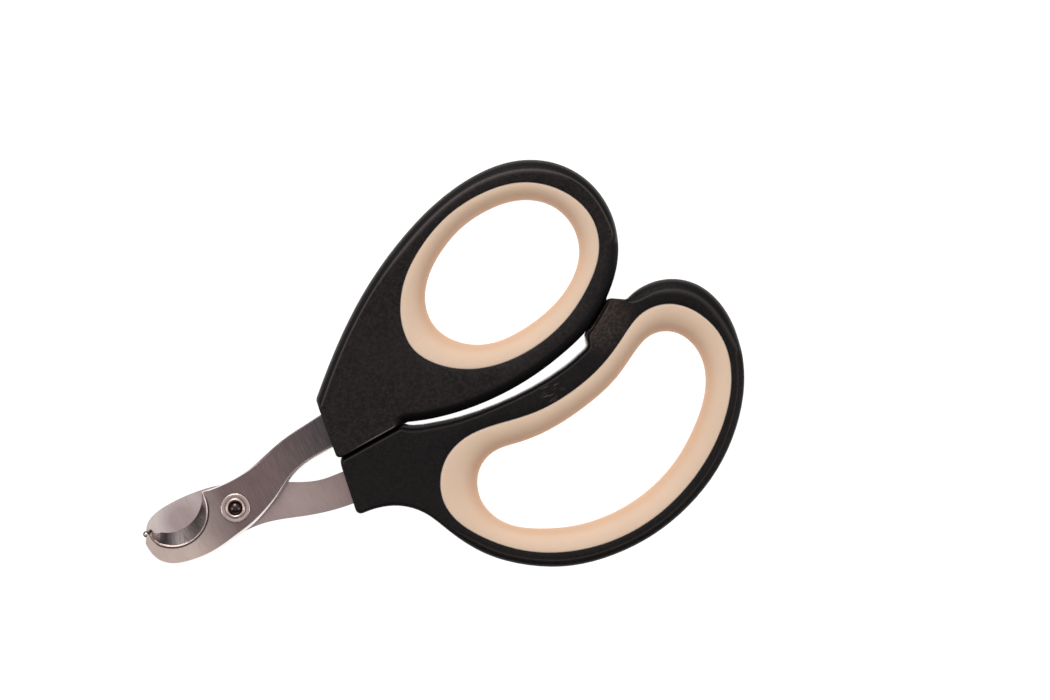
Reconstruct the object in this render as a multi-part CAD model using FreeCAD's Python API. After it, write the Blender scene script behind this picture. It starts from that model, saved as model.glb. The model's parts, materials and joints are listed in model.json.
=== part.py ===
"""Pet nail trimmer: two crescent-notched steel blades on one rivet, each with a moulded loop handle and a soft
insert round the finger hole.

Lengths are millimetres. The outlines are drawn from the pivot, in the plane of the tool, with the plane where the
blades slide on each other at height 0. place() then moves every piece to the row frame: +X from the jaws to the
handles, +Z up out of the front face, origin on the resting plane under the middle of the tool.
"""

import FreeCAD
import Part

import math
import os

from FreeCAD import Vector

# Driving dimensions
PIVOT_X, PIVOT_Y = -44.42, 4.03  # the rivet's axis in the row frame
HANDLE_THICK = 9.6  # both loop handles, front face to back face
SHOULDER_THICK = 6.6  # the lower rim outside the handles' raised faces
HANDLE_EDGE_R = 0.8
INSERT_THICK = 9.2
INSERT_EDGE_R = 2.6  # rounding of the insert towards the finger hole
WEB_THICK, WEB_SHARE = 2.8, 0.34  # tongue of the handle inside the insert, as a share of the insert's width
BLADE_THICK = 2.8
BLADE_GAP = 0.02  # each blade's clearance from the sliding plane
BLADE_EDGE_R = 0.35
NOTCH_FACE_R, NOTCH_EDGE_R = 7.2, 7.4  # the crescent at a blade's outer face and at its cutting edge
FRONT_NOTCH = ((-11.95, 5.4), (-11.95, 8.8))  # its centres in the front blade, at the face and at the edge
REAR_NOTCH = ((-11.5, -4.6), (-11.5, -8.0))  # and in the rear blade
SHANK_R, SHANK_CLEARANCE = 1.7, 0.04
FRONT_TANG_HOLES = ((29.5, 5.9), (35.0, 6.4))
REAR_TANG_HOLES = ((29.0, -7.9), (34.5, -8.9))
TANG_HOLE_R = 1.3
TANG_CORNER_R = 1.6
WASHER_R, WASHER_THICK, WASHER_CHAMFER = 3.08, 0.5, 0.22
ROLL_R, ROLL_HEIGHT, ROLL_CHAMFER = 2.0, 0.45, 0.25  # the rivet's rolled end in front
HOLLOW_R, HOLLOW_MOUTH_R, HOLLOW_FLOOR_Z = 1.25, 1.45, 1.3  # the hollow in that end
HEAD_R, HEAD_HEIGHT, HEAD_FLAT_R = 3.1, 0.9, 2.2  # the rivet's low rear head
HALF = HANDLE_THICK / 2
WASHER_TOP = BLADE_THICK + WASHER_THICK


def flat(points, z=0.0):
    """Plane points as vectors at one height."""
    return [Vector(x, y, z) for x, y in points]


def line(a, b):
    return Part.LineSegment(*flat((a, b))).toShape()


def curve(points):
    """A smooth open edge through the points."""
    spline = Part.BSplineCurve()
    spline.interpolate(flat(points))
    return spline.toShape()


def loop(points):
    """A smooth closed wire through the points."""
    spline = Part.BSplineCurve()
    spline.interpolate(Points=flat(points), PeriodicFlag=True)
    return Part.Wire(spline.toShape())


def prism(wire, low, high):
    """The solid inside a closed plane wire, from one height to another."""
    solid = Part.Face(wire).extrude(Vector(0, 0, high - low))
    solid.translate(Vector(0, 0, low))
    return solid


def disc(radius, low, high, centre=(0, 0)):
    return Part.makeCylinder(radius, high - low, Vector(*centre, low))


def round_uprights(solid, corners):
    """Rounds the upright edges at (x, y, radius) corners."""
    for x, y, radius in corners:
        edges = [
            e
            for e in solid.Edges
            if all(math.hypot(v.X - x, v.Y - y) < 0.05 for v in e.Vertexes)
        ]
        solid = solid.makeFillet(radius, edges)
    return solid


def round_rims(solid, radius, heights):
    """Rounds every edge that lies wholly at one of the heights."""
    edges = [
        e
        for e in solid.Edges
        if any(max(abs(e.BoundBox.ZMin - h), abs(e.BoundBox.ZMax - h)) < 1e-3 for h in heights)
    ]
    return solid.makeFillet(radius, edges)


# Outlines of the handles, anticlockwise from the upper front corner
UPPER_FRONT_TOP, UPPER_FRONT_FOOT, UPPER_SEAM_END = (25.2, 12.0), (23.4, -1.05), (39.4, -0.8)
UPPER_BACK = (
    UPPER_SEAM_END, (45, -2.85), (52, -4.4), (60, -5.1), (68, -4.75), (76, -3.35), (82, -1.5), (88, 2.05),
    (93, 6.7), (96.5, 12.8), (97.6, 19.5), (96.1, 26.4), (91.8, 32.4), (84.8, 36.45), (76, 37.65), (66, 36.3),
    (55, 32.5), (44, 26.75), (34, 19.6), UPPER_FRONT_TOP,
)
LOWER_FRONT_TOP, LOWER_FRONT_FOOT, LOWER_SEAM_END = (23.7, -1.25), (21.6, -13.3), (38.8, -1.03)
STOP_ROOT, STOP_TOP, STOP_FOOT, SLOT_CORNER = (92.0, 0.1), (88.8, 2.15), (81.3, -2.48), (80.3, -4.5)
LOWER_BACK = (
    LOWER_FRONT_FOOT, (26, -13.8), (30.4, -15.6), (34.2, -19.3), (36.95, -25.1), (41.3, -32.6), (48, -38.9),
    (56.2, -43.35), (65, -45.4), (74, -45.55), (83, -43.75), (92, -39.8), (99.4, -34.1), (105.1, -27),
    (108.6, -18), (108.8, -10), (106.2, -3.8), (101.4, -0.1), (96.5, 0.9), STOP_ROOT,
)
LOWER_SLOT = (
    SLOT_CORNER, (74, -6), (66, -6.65), (58, -6.3), (50, -5.1), (44, -3.45), (40.5, -2.1), LOWER_SEAM_END,
)

# Where the raised face ends and the lower rim begins, running past the outline at both ends
UPPER_CREASE = (
    (23.0, 7.8), (28, 12.5), (36, 19.3), (44, 24.9), (54, 30.3), (64, 34.1), (74, 35.9), (84, 34.6), (91, 30.6),
    (95, 25), (96.2, 18.5), (95.6, 12), (94.0, 6.5),
)
LOWER_CREASE = (
    (92.4, -1.1), (94.5, -1.3), (98, -1.35), (102, -2.8), (105.3, -6.1), (107.2, -11.5), (107.6, -17.5),
    (107.4, -25),
)

# Round the finger holes: the handle's edge and the insert's edge, point by point
UPPER_HOLE = (
    (47.8, 13.8), (49, 19.2), (53, 25.1), (59.5, 29.8), (67.5, 32.9), (76, 33.6), (84, 31.8), (90.5, 26.5),
    (93.5, 18.5), (91.8, 12), (86.5, 6.5), (78.5, 2.1), (69, 0.2), (60, 1.2), (52.5, 5.2),
)
UPPER_FINGER = (
    (54, 15), (54.85, 19.5), (57.75, 23.55), (62.8, 27.1), (69.1, 29.5), (75.5, 30.05), (82.2, 28.7),
    (87.3, 24.7), (89.2, 19), (87.95, 13.55), (83.85, 9.1), (77.4, 6.05), (69.5, 4.75), (62, 5.6), (56.4, 9.4),
)
LOWER_HOLE = (
    (38.7, -20.5), (40, -15.2), (43.5, -11.3), (49, -9.4), (56, -10), (64, -11.5), (73, -11.3), (81, -9.4),
    (87.5, -6.35), (93.5, -3.8), (99.5, -4.9), (103.8, -9.5), (105.6, -16), (104, -23.3), (99, -30.5),
    (91.5, -36.6), (82, -41), (71, -42.9), (59.5, -41.3), (49.5, -36.4), (42, -28.7),
)
LOWER_FINGER = (
    (45.7, -23), (46.6, -19.15), (48.9, -16.35), (52.9, -14.9), (58, -15.6), (65.5, -16.3), (74, -15.5),
    (82.7, -13.2), (88.7, -10.2), (93, -8.85), (97.1, -10.2), (99.65, -14), (99.8, -19.45), (97.3, -24.6),
    (92.4, -29.55), (86, -33.9), (78, -36.9), (70, -37.8), (61.5, -36.7), (53.5, -33.4), (47.8, -28.9),
)

# Outlines of the blades: from the heel of the notch along the arm to the tang, then back along the other side
FRONT_HEEL, FRONT_TIP = (-4.25, 6.2), (-19.5, 4.85)
FRONT_TANG_TOP, FRONT_TANG_FOOT = (38.0, 9.2), (38.0, 4.4)
FRONT_TOP = (
    FRONT_HEEL, (-2, 5.85), (1.5, 5.6), (5, 5.75), (9, 6.45), (13, 7.45), (17, 8.15), (21, 8.5), (24.6, 8.8),
    (31, 9.1), FRONT_TANG_TOP,
)
FRONT_FOOT = (
    FRONT_TANG_FOOT, (30, 2.3), (23.5, 1.6), (19.5, 1.5), (16, 1.1), (13, 0.15), (9, -2), (5, -3.7),
    (1, -4.85), (-4, -5.55), (-9, -5.95), (-13.5, -5.45), (-17, -4.3), (-19.1, -2.5), (-20.2, 0.5),
    (-20.15, 3.2), (-19.95, 4.3), FRONT_TIP,
)
REAR_HEEL, REAR_TIP = (-4.3, -5.2), (-18.6, -2.2)
REAR_TANG_TOP, REAR_TANG_FOOT = (37.5, -6.9), (37.0, -11.7)
REAR_FOOT = (
    REAR_HEEL, (-1, -5.15), (3, -5.5), (7, -6.55), (11, -8), (15, -9.3), (19, -10.25), (23, -10.85),
    (29.5, -11.35), REAR_TANG_FOOT,
)
REAR_TOP = (
    REAR_TANG_TOP, (29.5, -4.8), (22.5, -3.75), (18, -3.1), (14, -1.5), (8, 1.9), (3, 4.3), (-2, 6.05), (-7, 7),
    (-12, 7.25), (-15.5, 6.9), (-18.2, 5.6), (-19.45, 3.2), (-19.7, 0.3), (-19.2, -1.6), REAR_TIP,
)


def upper_outline():
    return Part.Wire([
        line(UPPER_FRONT_TOP, UPPER_FRONT_FOOT),
        line(UPPER_FRONT_FOOT, UPPER_SEAM_END),
        curve(UPPER_BACK),
    ])


def lower_outline():
    return Part.Wire([
        line(LOWER_FRONT_TOP, LOWER_FRONT_FOOT),
        curve(LOWER_BACK),
        line(STOP_ROOT, STOP_TOP),
        line(STOP_TOP, STOP_FOOT),
        line(STOP_FOOT, SLOT_CORNER),
        curve(LOWER_SLOT),
        line(LOWER_SEAM_END, LOWER_FRONT_TOP),
    ])


def rim_steps(crease_edges, around):
    """Front and back cutters that lower the rim outside a crease. around leads back outside the handle."""
    corners = [crease_edges[-1].Vertexes[-1].Point, *flat(around), crease_edges[0].Vertexes[0].Point]
    sides = [Part.LineSegment(a, b).toShape() for a, b in zip(corners, corners[1:])]
    wire = Part.Wire([*crease_edges, *sides])
    shoulder = SHOULDER_THICK / 2
    return [prism(wire, shoulder, HALF + 1), prism(wire, -HALF - 1, -shoulder)]


def web(hole, finger):
    """The tongue of the handle that the insert is moulded round."""
    inner = [(a + (c - a) * WEB_SHARE, b + (d - b) * WEB_SHARE) for (a, b), (c, d) in zip(hole, finger)]
    half = WEB_THICK / 2
    return prism(loop(hole), -half, half).cut(prism(loop(inner), -half, half))


def handle(outline, corners, steps, hole, finger, blade):
    """A loop handle, with its rim stepped down, its finger hole open and the blade's tang cast in."""
    body = round_uprights(prism(outline, -HALF, HALF), corners)
    body = round_rims(body, HANDLE_EDGE_R, (-HALF, HALF))
    for step in steps:
        body = body.cut(step)
    body = body.cut(prism(loop(hole), -HALF - 1, HALF + 1))
    return body.fuse(web(hole, finger)).cut(blade).removeSplitter()


def upper_handle(blade):
    steps = rim_steps([curve(UPPER_CREASE)], ((110, 6.5), (110, 50), (10, 50), (10, 7.8)))
    corners = ((*UPPER_FRONT_TOP, 1.5), (*UPPER_FRONT_FOOT, 0.9), (*UPPER_SEAM_END, 3))
    return handle(upper_outline(), corners, steps, UPPER_HOLE, UPPER_FINGER, blade)


def lower_handle(blade):
    crease = [line((90.9, 1.6), LOWER_CREASE[0]), curve(LOWER_CREASE)]
    steps = rim_steps(crease, ((120, -25), (120, 10), (90.9, 10)))
    corners = (
        (*LOWER_FRONT_TOP, 0.9), (*LOWER_FRONT_FOOT, 1.2), (*STOP_ROOT, 1.0), (*STOP_TOP, 1.3),
        (*STOP_FOOT, 0.9), (*SLOT_CORNER, 0.9), (*LOWER_SEAM_END, 0.8),
    )
    return handle(lower_outline(), corners, steps, LOWER_HOLE, LOWER_FINGER, blade)


def grip_insert(hole, finger):
    """The soft ring inside a finger hole, rounded towards the finger and grooved for the handle's tongue."""
    half = INSERT_THICK / 2
    ring = prism(loop(hole), -half, half).cut(prism(loop(finger), -half, half))
    return ring.makeFillet(INSERT_EDGE_R, finger_rims(ring, finger)).cut(web(hole, finger))


def finger_rims(ring, finger):
    """The two edges of a ring that run round its finger hole."""
    found = []
    for e in ring.Edges:
        level = abs(e.BoundBox.ZMax - e.BoundBox.ZMin) < 1e-3
        point = e.Vertexes[0].Point
        if level and math.hypot(point.x - finger[0][0], point.y - finger[0][1]) < 0.05:
            found.append(e)
    return found


def notch_tool(face, edge):
    """The slanting cutter of a crescent in the front blade's height range, running past both faces."""
    circles = []
    for z in (-1.0, BLADE_THICK + 1.0):
        share = z / BLADE_THICK
        centre = [e + (f - e) * share for f, e in zip(face, edge)]
        radius = NOTCH_EDGE_R + (NOTCH_FACE_R - NOTCH_EDGE_R) * share
        circles.append(Part.Wire(Part.Circle(Vector(*centre, z), Vector(0, 0, 1), radius).toShape()))
    return Part.makeLoft(circles, True, True)


def blade(outline, tang_corners, notch, holes):
    """A stamping above the sliding plane, its crescent ground to an edge at that plane."""
    blank = prism(outline, BLADE_GAP, BLADE_THICK)
    blank = round_uprights(blank, [(*corner, TANG_CORNER_R) for corner in tang_corners])
    blank = round_rims(blank, BLADE_EDGE_R, (BLADE_THICK,)).cut(notch_tool(*notch))
    for centre in holes:
        blank = blank.cut(disc(TANG_HOLE_R, -1, BLADE_THICK + 1, centre))
    return blank


def front_blade():
    """The blade in front, free to turn on the rivet."""
    outline = Part.Wire([
        curve(FRONT_TOP), line(FRONT_TANG_TOP, FRONT_TANG_FOOT), curve(FRONT_FOOT), line(FRONT_TIP, FRONT_HEEL),
    ])
    solid = blade(outline, (FRONT_TANG_TOP, FRONT_TANG_FOOT), FRONT_NOTCH, FRONT_TANG_HOLES)
    return solid.cut(disc(SHANK_R + SHANK_CLEARANCE, -1, BLADE_THICK + 1))


def rear_blade():
    """The blade behind: made above the sliding plane, then mirrored through it. It is tight on the rivet."""
    outline = Part.Wire([
        curve(REAR_FOOT), line(REAR_TANG_FOOT, REAR_TANG_TOP), curve(REAR_TOP), line(REAR_TIP, REAR_HEEL),
    ])
    solid = blade(outline, (REAR_TANG_FOOT, REAR_TANG_TOP), REAR_NOTCH, REAR_TANG_HOLES)
    solid = solid.mirror(Vector(0, 0, 0), Vector(0, 0, 1))
    return solid.cut(disc(SHANK_R, -BLADE_THICK - 1, 1))


def revolved(profile):
    """A solid turned about the pivot from (radius, height) corners."""
    points = [Vector(r, 0, z) for r, z in (*profile, profile[0])]
    return Part.Face(Part.makePolygon(points)).revolve(Vector(0, 0, 0), Vector(0, 0, 1), 360)


def rivet_washer():
    """The flat ring between the front blade and the rivet's rolled end."""
    bore = SHANK_R + SHANK_CLEARANCE
    return revolved((
        (bore, BLADE_THICK + BLADE_GAP), (WASHER_R, BLADE_THICK + BLADE_GAP),
        (WASHER_R, WASHER_TOP - WASHER_CHAMFER), (WASHER_R - WASHER_CHAMFER, WASHER_TOP), (bore, WASHER_TOP),
    ))


def pivot_rivet():
    """The semi-tubular rivet: a low head behind, a shank through both blades, a rolled hollow end in front."""
    top = WASHER_TOP + ROLL_HEIGHT
    head_foot = -BLADE_THICK - HEAD_HEIGHT
    return revolved((
        (0, head_foot), (HEAD_FLAT_R, head_foot), (HEAD_R, -BLADE_THICK - HEAD_HEIGHT / 2),
        (HEAD_R, -BLADE_THICK), (SHANK_R, -BLADE_THICK), (SHANK_R, WASHER_TOP), (ROLL_R, WASHER_TOP),
        (ROLL_R, top - ROLL_CHAMFER), (ROLL_R - ROLL_CHAMFER, top), (HOLLOW_MOUTH_R, top),
        (HOLLOW_R, WASHER_TOP), (HOLLOW_R, HOLLOW_FLOOR_Z), (0, HOLLOW_FLOOR_Z - HOLLOW_R / 2),
    ))


def place(shape):
    """Moves a piece from the pivot's frame to the row frame."""
    placed = shape.copy()
    placed.translate(Vector(PIVOT_X, PIVOT_Y, HALF))
    return placed


def build():
    """Every sub-part by node name, in the pivot's frame."""
    front = front_blade()
    rear = rear_blade()
    return {
        "front_blade": front,
        "rear_blade": rear,
        "pivot_rivet": pivot_rivet(),
        "rivet_washer": rivet_washer(),
        "upper_handle": upper_handle(front),
        "lower_handle": lower_handle(rear),
        "upper_grip_insert": grip_insert(UPPER_HOLE, UPPER_FINGER),
        "lower_grip_insert": grip_insert(LOWER_HOLE, LOWER_FINGER),
    }


def main():
    os.makedirs("parts", exist_ok=True)
    for name, shape in build().items():
        placed = place(shape)
        placed.exportStep(f"parts/{name}.step")
        print(f"{name}: valid {placed.isValid()}, {len(placed.Solids)} solid, {placed.Volume:.1f} mm3")


main()
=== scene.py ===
"""Pet nail trimmer: the visible model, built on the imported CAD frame.

Outlines are read from the CAD solids as plane sections, in millimetres in the row frame. The handles, soft
grips, blades, rivet and washer are rebuilt from them as finer meshes, which ride on the CAD bodies. Their
heights are measured from the plane where the blades slide on each other, and x runs along the tool.
"""

import json
import math

import bmesh
import bpy
import numpy as np
from mathutils import Matrix, Vector, geometry

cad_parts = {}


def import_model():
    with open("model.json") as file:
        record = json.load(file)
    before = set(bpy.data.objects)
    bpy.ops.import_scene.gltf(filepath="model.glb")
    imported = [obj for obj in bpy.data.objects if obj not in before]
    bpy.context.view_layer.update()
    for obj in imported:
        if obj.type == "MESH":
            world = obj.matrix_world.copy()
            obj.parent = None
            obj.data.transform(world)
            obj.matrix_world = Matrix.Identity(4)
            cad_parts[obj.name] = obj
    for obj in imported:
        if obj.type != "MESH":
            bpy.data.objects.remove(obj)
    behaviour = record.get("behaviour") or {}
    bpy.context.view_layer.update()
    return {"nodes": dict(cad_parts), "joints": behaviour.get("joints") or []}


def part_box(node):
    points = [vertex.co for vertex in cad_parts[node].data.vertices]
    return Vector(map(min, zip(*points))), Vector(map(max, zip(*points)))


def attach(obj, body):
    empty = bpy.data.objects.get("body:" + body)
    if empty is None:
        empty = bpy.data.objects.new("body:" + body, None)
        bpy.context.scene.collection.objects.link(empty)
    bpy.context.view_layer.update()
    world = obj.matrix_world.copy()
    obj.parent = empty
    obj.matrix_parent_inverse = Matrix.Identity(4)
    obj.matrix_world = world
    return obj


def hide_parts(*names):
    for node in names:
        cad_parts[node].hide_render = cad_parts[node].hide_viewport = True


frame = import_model()

MM = 0.001
PIVOT = np.array(frame["joints"][0]["pos_m"]) / MM
AXIS = PIVOT[:2]
MID = PIVOT[2]  # the sliding plane's own height
HANDLE_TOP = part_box("upper_handle")[1].z / MM - MID
INSERT_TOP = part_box("upper_grip_insert")[1].z / MM - MID


def at(x, y, height=0.0):
    """A place in metres from millimetres about the pivot."""
    return ((PIVOT[0] + x) * MM, (PIVOT[1] + y) * MM, (MID + height) * MM)


# ---------------------------------------------------------------- outlines


def section(node, height):
    """Closed outlines of a CAD node at a height, largest first, anticlockwise."""
    bm = bmesh.new()
    bm.from_mesh(frame["nodes"][node].data)
    bmesh.ops.remove_doubles(bm, verts=bm.verts, dist=1e-6)
    cut = bmesh.ops.bisect_plane(
        bm,
        geom=bm.verts[:] + bm.edges[:] + bm.faces[:],
        plane_co=(0, 0, (MID + height) * MM),
        plane_no=(0, 0, 1),
        dist=1e-8,
    )
    beside = {}
    for line in (e for e in cut["geom_cut"] if isinstance(e, bmesh.types.BMEdge)):
        a, b = line.verts
        beside.setdefault(a, []).append(b)
        beside.setdefault(b, []).append(a)
    loops = []
    left = set(beside)
    while left:
        step = min(left, key=lambda v: v.index)
        chain = []
        while step is not None:
            chain.append(step)
            left.discard(step)
            step = next((v for v in beside[step] if v in left), None)
        points = np.array([v.co[:2] for v in chain]) / MM
        if len(points) > 8:
            loops.append(points if signed_area(points) > 0 else points[::-1])
    bm.free()
    return sorted(loops, key=lambda p: -abs(signed_area(p)))


def signed_area(points):
    """The area inside an outline, positive when it runs anticlockwise."""
    x, y = points[:, 0], points[:, 1]
    return 0.5 * float(np.sum(x * np.roll(y, -1) - np.roll(x, -1) * y))


def resample(points, count, start):
    """The outline at even spacing, beginning nearest to a start point."""
    first = int(np.argmin(np.hypot(*(points - np.array(start)).T)))
    ring = np.roll(points, -first, axis=0)
    ring = np.vstack([ring, ring[:1]])
    along = np.r_[0, np.cumsum(np.hypot(*np.diff(ring, axis=0).T))]
    stops = np.linspace(0, along[-1], count, endpoint=False)
    return np.column_stack([np.interp(stops, along, ring[:, k]) for k in (0, 1)])


def smooth(values, rounds):
    """Periodic smoothing of a ring of numbers or points."""
    for _ in range(rounds):
        values = 0.25 * np.roll(values, 1, axis=0) + 0.5 * values + 0.25 * np.roll(values, -1, axis=0)
    return values


def inward(points):
    """Unit normals that point into an anticlockwise outline."""
    along = np.roll(points, -1, axis=0) - np.roll(points, 1, axis=0)
    along /= np.maximum(np.hypot(*along.T), 1e-9)[:, None]
    return np.column_stack([-along[:, 1], along[:, 0]])


def inset(points, distance, steps):
    """The outline moved inwards by a distance per point, in small steps that keep its points in order."""
    step = np.asarray(distance) / steps
    for _ in range(steps):
        normal = inward(points)
        points = points + normal * np.reshape(step, (-1, 1))
        drift = 0.5 * (np.roll(points, 1, axis=0) + np.roll(points, -1, axis=0)) - points
        across = normal * np.sum(drift * normal, axis=1)[:, None]
        points = points + 0.35 * (drift - across) + 0.12 * across
    return points


def gaps(points, others):
    """A table of distances from each point to each of the others."""
    return np.hypot(points[:, None, 0] - others[None, :, 0], points[:, None, 1] - others[None, :, 1])


def gap_to(points, outline):
    """Distance from each point to the nearest point of an outline."""
    pieces = np.array_split(outline, max(1, len(outline) // 400))  # keeps each table small
    return np.min([gaps(points, piece).min(axis=1) for piece in pieces], axis=0)


def nearest_on(outline, points):
    """The nearest spots on an outline."""
    dense = resample(outline, 6000, outline[0])
    pieces = np.array_split(points, 16)
    return np.vstack([dense[np.argmin(gaps(piece, dense), axis=1)] for piece in pieces])


def matched(points, other):
    """For each point of one outline, the nearest point of another, always moving forward along it."""
    dense = resample(other, 4 * len(points), points[0])
    size = len(dense)
    nearest = np.argmin(gaps(points, dense), axis=1).astype(float)
    if nearest[0] > size / 2:
        nearest[0] -= size
    for i in range(1, len(nearest)):
        nearest[i] += size * round((nearest[i - 1] - nearest[i]) / size)
    nearest = np.minimum(np.maximum.accumulate(nearest), nearest[0] + size)
    slope = np.arange(len(points)) * size / len(points)
    index = np.mod(smooth(nearest - slope, 6) + slope, size)
    low = np.floor(index).astype(int) % size
    share = (index - np.floor(index))[:, None]
    return dense[low] * (1 - share) + dense[(low + 1) % size] * share


def inside(points, outline):
    """Which points lie inside an outline."""
    x, y = points[:, 0][:, None], points[:, 1][:, None]
    ax, ay = outline[:, 0][None, :], outline[:, 1][None, :]
    bx, by = np.roll(outline[:, 0], -1)[None, :], np.roll(outline[:, 1], -1)[None, :]
    spans = (ay > y) != (by > y)
    with np.errstate(divide="ignore", invalid="ignore"):
        cross = ax + (y - ay) * (bx - ax) / (by - ay)
    return np.sum(spans & (x < cross), axis=1) % 2 == 1


def ease(value, low, high):
    """0 at low and 1 at high, smooth between; low may be the larger."""
    t = np.clip((np.asarray(value, float) - low) / (high - low), 0, 1)
    return t * t * (3 - 2 * t)


# ---------------------------------------------------------------- meshes

# What a mesh tells its material: painted shade, a painted warm reflection next to the rim, a painted
# highlight, part of the ground crescent, painted warm shade where a grip rolls into its hole, and painted
# light from the floor
MARKS = ("dark", "rim_reflection", "worn", "ground", "inner", "lit")
SHARP_ANGLE = math.radians(38)


def new_mesh():
    """An empty mesh with a layer for each mark the materials read."""
    bm = bmesh.new()
    for name in MARKS:
        bm.verts.layers.float.new(name)
    return bm


def paint(bm, verts, **values):
    """Writes marks for the materials: how dark, worn and so on, as one number or one per vert."""
    for name, value in values.items():
        layer = bm.verts.layers.float[name]
        for vert, amount in zip(verts, np.broadcast_to(value, len(verts))):
            vert[layer] = float(amount)


def add_ring(bm, points, heights):
    """One ring of vertices, at one height or one per point."""
    z = np.broadcast_to(heights, len(points)) + MID
    return [bm.verts.new((x, y, h)) for (x, y), h in zip(points, z)]


def bridge(bm, rings, closed=False):
    """Quads between neighbouring rings of the same count."""
    pairs = list(zip(rings, rings[1:]))
    if closed:
        pairs.append((rings[-1], rings[0]))
    for low, high in pairs:
        for i in range(len(low)):
            j = (i + 1) % len(low)
            bm.faces.new((low[i], low[j], high[j], high[i]))


def fill_face(bm, rim, hole, spacing):
    """A flat face between a rim and a hole, of triangles about as wide as the spacing."""
    rim_xy = np.array([v.co[:2] for v in rim])
    hole_xy = np.array([v.co[:2] for v in hole])
    low, high = rim_xy.min(axis=0), rim_xy.max(axis=0)
    row_step = 0.87 * spacing  # about that of equal-sided triangles
    xs, ys = np.arange(low[0], high[0], spacing), np.arange(low[1], high[1], row_step)
    grid = np.array([(x + (k % 2) * spacing / 2, y) for k, y in enumerate(ys) for x in xs])
    grid = grid[inside(grid, rim_xy) & ~inside(grid, hole_xy)]
    away = np.minimum(gap_to(grid, rim_xy), gap_to(grid, hole_xy))
    grid = grid[away > 0.45 * spacing]
    points = [Vector(p) for p in np.vstack([rim_xy, hole_xy, grid])]
    n, m = len(rim), len(hole)
    edges = [(i, (i + 1) % n) for i in range(n)] + [(n + i, n + (i + 1) % m) for i in range(m)]
    places, _, faces, origins, _, _ = geometry.delaunay_2d_cdt(points, edges, [], 1, 1e-5)
    centres = np.array([np.mean([places[i][:] for i in f], axis=0) for f in faces])
    wanted = inside(centres, rim_xy) & ~inside(centres, hole_xy)
    known = list(rim) + list(hole)
    verts = {}

    def vert(i):
        """The rim's or hole's own vertex where there is one, or else a new one at the rim's height."""
        if i not in verts:
            old = [o for o in origins[i] if o < n + m]
            verts[i] = known[old[0]] if old else bm.verts.new((*places[i], rim[0].co.z))
        return verts[i]

    for f in (f for f, good in zip(faces, wanted) if good):
        corners = [vert(i) for i in f]
        if len(set(corners)) == 3:
            bm.faces.new(corners)


def finish_mesh(name, bm, body, material, replaced):
    """Turns a bmesh in millimetres into a named, smooth piece that rides on its body."""
    bmesh.ops.recalc_face_normals(bm, faces=bm.faces)
    mesh = bpy.data.meshes.new(name)
    bm.to_mesh(mesh)
    bm.free()
    mesh.transform(Matrix.Scale(MM, 4))
    mesh.shade_smooth()
    mesh.set_sharp_from_angle(angle=SHARP_ANGLE)
    piece = bpy.data.objects.new(name, mesh)
    bpy.context.scene.collection.objects.link(piece)
    mesh.materials.append(material)
    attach(piece, body)
    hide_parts(replaced)


# ---------------------------------------------------------------- materials


class Nodes:
    """A short way to write a procedural material."""

    def __init__(self, name):
        self.material = bpy.data.materials.new(name)
        self.material.use_nodes = True
        self.tree = self.material.node_tree
        self.tree.nodes.clear()
        output = self.tree.nodes.new("ShaderNodeOutputMaterial")
        self.shader = self.tree.nodes.new("ShaderNodeBsdfPrincipled")
        self.link(self.shader.outputs[0], output.inputs[0])
        self.place = self.tree.nodes.new("ShaderNodeTexCoord").outputs["Object"]

    def link(self, source, target):
        self.tree.links.new(source, target)

    def node(self, kind, inputs, **settings):
        """A shader node with its inputs linked or set."""
        made = self.tree.nodes.new("ShaderNode" + kind)
        for key, value in settings.items():
            setattr(made, key, value)
        for key, value in inputs.items():
            if isinstance(value, bpy.types.NodeSocket):
                self.link(value, made.inputs[key])
            else:
                made.inputs[key].default_value = value
        return made

    def set(self, **values):
        """Links or sets the shader's own inputs."""
        for key, value in values.items():
            socket = self.shader.inputs[key.replace("_", " ")]
            if isinstance(value, bpy.types.NodeSocket):
                self.link(value, socket)
            else:
                socket.default_value = value

    def stretched(self, scale, turn):
        """Object coordinates, scaled per axis and turned about Z."""
        mapping = self.node("Mapping", {"Vector": self.place, "Scale": scale, "Rotation": (0, 0, turn)})
        return mapping.outputs[0]

    def noise(self, scale, detail, rough, vector=None):
        """Noise over object coordinates in metres, or over another vector."""
        source = self.place if vector is None else vector
        inputs = {"Vector": source, "Scale": scale, "Detail": detail, "Roughness": rough}
        return self.node("TexNoise", inputs).outputs["Fac"]

    def ramp(self, source, low, high, to_low=0.0, to_high=1.0):
        """The source moved from one range into another, and held inside it."""
        ranges = {"From Min": low, "From Max": high, "To Min": to_low, "To Max": to_high}
        return self.node("MapRange", {"Value": source, **ranges}).outputs[0]

    def math(self, operation, a, b=0.0):
        return self.node("Math", {0: a, 1: b}, operation=operation).outputs[0]

    def vector(self, operation, a, b):
        return self.node("VectorMath", {0: a, 1: b}, operation=operation)

    def mix(self, share, a, b):
        """Colour a turned into colour b by a share."""
        return self.node("Mix", {0: share, 6: a, 7: b}, data_type="RGBA").outputs[2]

    def bump(self, height, distance, strength, normal=None):
        """A normal bent by a height, on top of another bump's where one is given."""
        inputs = {"Height": height, "Distance": distance, "Strength": strength}
        if normal is not None:
            inputs["Normal"] = normal
        return self.node("Bump", inputs).outputs[0]

    def near(self, spot, none_at, full_at, amount=1.0):
        """The amount where a place is full_at millimetres from a spot, fading to 0 at none_at."""
        away = self.vector("DISTANCE", self.place, spot).outputs["Value"]
        return self.ramp(away, none_at * MM, full_at * MM, 0.0, amount)

    def painted(self, name, strength=1.0):
        """What paint() wrote into the mesh, times a strength."""
        mark = self.node("Attribute", {}, attribute_name=name).outputs["Fac"]
        return mark if strength == 1.0 else self.math("MULTIPLY", mark, strength)


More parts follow.
